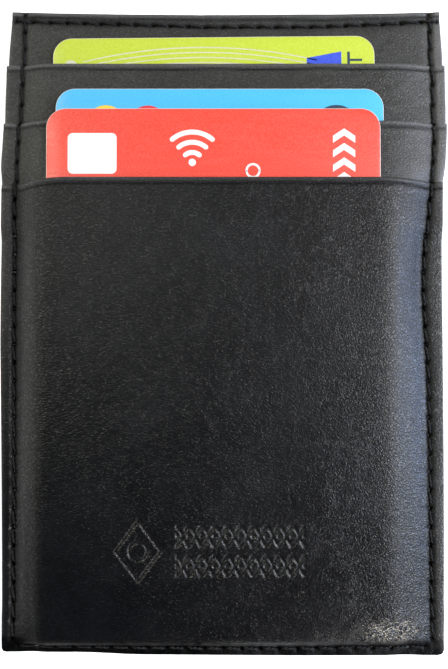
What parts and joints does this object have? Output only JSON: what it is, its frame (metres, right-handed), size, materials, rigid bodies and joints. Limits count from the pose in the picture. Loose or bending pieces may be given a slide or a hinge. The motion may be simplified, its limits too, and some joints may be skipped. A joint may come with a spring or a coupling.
{
  "type": "card holder",
  "caption": "Slim upright leather card holder with stepped front pockets, an open-topped note compartment behind them and cards that slide out.",
  "frame": {"origin": "on the surface that the holder lies on, under the middle of its outline", "axes": "+X to the right across the front, +Y up the holder towards the pocket mouths, +Z out of the front; the back lies on the surface"},
  "size_m": [0.0736, 0.1062, 0.0079],
  "materials": {
    "leather": "fine pebbled grain, matte",
    "front_leather": "fine pebbled grain, satin",
    "lining": "fine twill cloth",
    "thread": "twisted polyester thread",
    "yellow_plastic": "satin laminated card",
    "blue_plastic": "satin laminated card",
    "red_plastic": "satin laminated card",
    "contact_plate": "gold-plated contacts"
  },
  "bodies": {
    "holder": {"back_panel": "leather", "back_lining": "lining", "base_panel": "leather", "base_lining": "lining", "top_pocket": "leather", "top_pocket_lining": "lining", "middle_pocket": "leather", "middle_pocket_lining": "lining", "front_pocket": "front_leather", "front_pocket_lining": "lining", "top_hem_thread": "thread", "back_hem_thread": "thread", "left_seam_thread": "thread", "right_seam_thread": "thread", "bottom_seam_thread": "thread", "left_seam_bobbin_thread": "thread", "right_seam_bobbin_thread": "thread", "bottom_seam_bobbin_thread": "thread", "top_pocket_floor_thread": "thread", "middle_pocket_floor_thread": "thread"},
    "yellow_card_body": {"yellow_card": "yellow_plastic"},
    "blue_card_body": {"blue_card": "blue_plastic"},
    "red_card_body": {"red_card": "red_plastic", "red_card_chip": "contact_plate"}
  },
  "joints": [
    {"name": "yellow_card_slide", "type": "slide", "parent": "holder", "child": "yellow_card_body", "axis": [0, 1, 0], "range_m": [0, 0.0915]},
    {"name": "blue_card_slide", "type": "slide", "parent": "holder", "child": "blue_card_body", "axis": [0, 1, 0.0096], "range_m": [0, 0.101]},
    {"name": "red_card_slide", "type": "slide", "parent": "holder", "child": "red_card_body", "axis": [0, 0.9998, 0.0192], "range_m": [0, 0.105]}
  ]
}
